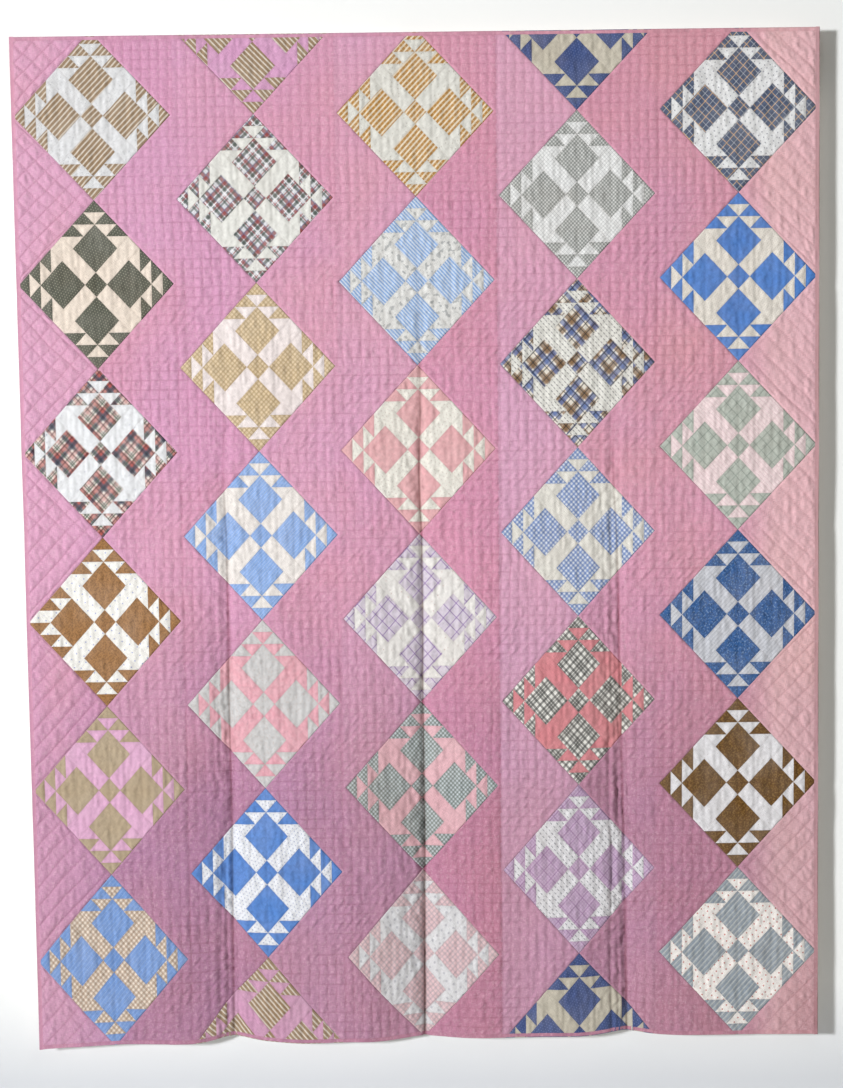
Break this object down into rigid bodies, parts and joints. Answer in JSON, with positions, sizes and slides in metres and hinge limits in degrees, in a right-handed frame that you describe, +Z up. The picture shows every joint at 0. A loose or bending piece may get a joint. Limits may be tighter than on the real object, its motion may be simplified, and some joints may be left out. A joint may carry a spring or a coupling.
{
  "type": "hanging patchwork quilt",
  "caption": "Pieced patchwork quilt with corner-set blocks between pink zigzag bands, hung by a back sleeve on a round pole that rests in notched wall brackets.",
  "frame": {"origin": "on the wall plane, at the middle of the centre bracket's back face, level with the pole's axis", "axes": "+Z up, +X to the right seen from the front, +Y into the wall; the quilt's patchwork faces -Y"},
  "size_m": [1.815, 0.0871, 2.2662],
  "materials": {
    "print_block_s1_r1": "matte",
    "print_block_s1_r2": "matte",
    "print_block_s1_r3": "matte",
    "print_block_s1_r4": "matte",
    "print_block_s1_r5": "matte",
    "print_block_s1_r6": "matte",
    "print_half_block_s2_head": "matte",
    "print_block_s2_r1": "matte",
    "print_block_s2_r2": "matte",
    "print_block_s2_r3": "matte",
    "print_block_s2_r4": "matte",
    "print_block_s2_r5": "matte",
    "print_half_block_s2_foot": "matte",
    "print_block_s3_r1": "matte",
    "print_block_s3_r2": "matte",
    "print_block_s3_r3": "matte",
    "print_block_s3_r4": "matte",
    "print_block_s3_r5": "matte",
    "print_block_s3_r6": "matte",
    "print_half_block_s4_head": "matte",
    "print_block_s4_r1": "matte",
    "print_block_s4_r2": "matte",
    "print_block_s4_r3": "matte",
    "print_block_s4_r4": "matte",
    "print_block_s4_r5": "matte",
    "print_half_block_s4_foot": "matte",
    "print_block_s5_r1": "matte",
    "print_block_s5_r2": "matte",
    "print_block_s5_r3": "matte",
    "print_block_s5_r4": "matte",
    "print_block_s5_r5": "matte",
    "print_block_s5_r6": "matte",
    "pink_cotton": "matte",
    "batting": "matte",
    "backing": "matte",
    "binding": "matte",
    "sleeve_cotton": "matte",
    "pole_wood": "satin",
    "bracket_wood": "satin",
    "screw_brass": "satin"
  },
  "bodies": {
    "brackets": {"bracket_left": "bracket_wood", "bracket_centre": "bracket_wood", "bracket_right": "bracket_wood", "screw_left_upper": "screw_brass", "screw_left_lower": "screw_brass", "screw_centre_upper": "screw_brass", "screw_centre_lower": "screw_brass", "screw_right_upper": "screw_brass", "screw_right_lower": "screw_brass"},
    "pole": {"pole": "pole_wood"},
    "quilt": {"block_s1_r1": "print_block_s1_r1", "block_s1_r2": "print_block_s1_r2", "block_s1_r3": "print_block_s1_r3", "block_s1_r4": "print_block_s1_r4", "block_s1_r5": "print_block_s1_r5", "block_s1_r6": "print_block_s1_r6", "half_block_s2_head": "print_half_block_s2_head", "block_s2_r1": "print_block_s2_r1", "block_s2_r2": "print_block_s2_r2", "block_s2_r3": "print_block_s2_r3", "block_s2_r4": "print_block_s2_r4", "block_s2_r5": "print_block_s2_r5", "half_block_s2_foot": "print_half_block_s2_foot", "block_s3_r1": "print_block_s3_r1", "block_s3_r2": "print_block_s3_r2", "block_s3_r3": "print_block_s3_r3", "block_s3_r4": "print_block_s3_r4", "block_s3_r5": "print_block_s3_r5", "block_s3_r6": "print_block_s3_r6", "half_block_s4_head": "print_half_block_s4_head", "block_s4_r1": "print_block_s4_r1", "block_s4_r2": "print_block_s4_r2", "block_s4_r3": "print_block_s4_r3", "block_s4_r4": "print_block_s4_r4", "block_s4_r5": "print_block_s4_r5", "half_block_s4_foot": "print_half_block_s4_foot", "block_s5_r1": "print_block_s5_r1", "block_s5_r2": "print_block_s5_r2", "block_s5_r3": "print_block_s5_r3", "block_s5_r4": "print_block_s5_r4", "block_s5_r5": "print_block_s5_r5", "block_s5_r6": "print_block_s5_r6", "zigzag_left_edge": "pink_cotton", "zigzag_1_2": "pink_cotton", "zigzag_2_3": "pink_cotton", "zigzag_3_4": "pink_cotton", "zigzag_4_5": "pink_cotton", "zigzag_right_edge": "pink_cotton", "batting": "batting", "backing": "backing", "binding_left": "binding", "binding_right": "binding", "binding_head": "binding", "binding_foot": "binding", "sleeve_left": "sleeve_cotton", "sleeve_right": "sleeve_cotton"}
  },
  "joints": [
    {"name": "pole_lift", "type": "slide", "parent": "brackets", "child": "pole", "axis": [0, 0, 1], "range_m": [0, 0.04]},
    {"name": "quilt_swing", "type": "hinge", "parent": "pole", "child": "quilt", "pos_m": [0, -0.03, 0], "axis": [-1, 0, 0], "range_deg": [0, 45]}
  ]
}
